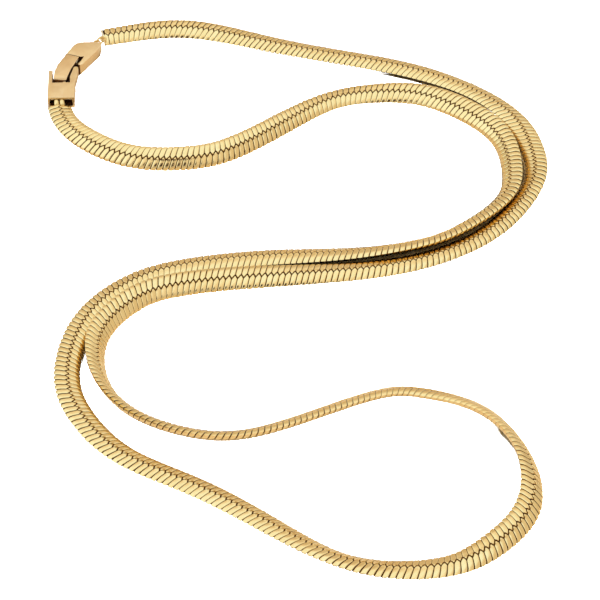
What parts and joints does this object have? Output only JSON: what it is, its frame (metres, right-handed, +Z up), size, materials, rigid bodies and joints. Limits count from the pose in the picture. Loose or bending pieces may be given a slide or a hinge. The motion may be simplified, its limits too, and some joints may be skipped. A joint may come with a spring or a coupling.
{
  "type": "herringbone chain necklace",
  "caption": "Flat herringbone neck chain in polished yellow gold colour, lying in an S with its fold-over clasp closed; the clasp's lever opens.",
  "frame": {"origin": "on the table, under the middle of the whole object", "axes": "+X to the right and +Y away from the viewer along the long side of the S, +Z up from the table"},
  "size_m": [0.111, 0.1712, 0.0044],
  "materials": {
    "chain_gold": "polished",
    "clasp_gold": "polished",
    "lever_gold": "polished",
    "pin_gold": "polished",
    "ring_gold": "polished"
  },
  "bodies": {
    "necklace": {"chain_first": "chain_gold", "chain_second": "chain_gold", "catch_box": "clasp_gold", "clasp_body": "clasp_gold", "hinge_pin": "pin_gold", "joining_ring": "ring_gold", "near_end_link": "ring_gold", "far_end_link": "ring_gold"},
    "lever": {"lever": "lever_gold"}
  },
  "joints": [
    {"name": "lever_hinge", "type": "hinge", "parent": "necklace", "child": "lever", "pos_m": [-0.05055, 0.06945, 0.0019], "axis": [-0.9397, 0.342, 0], "range_deg": [0, 75]}
  ]
}
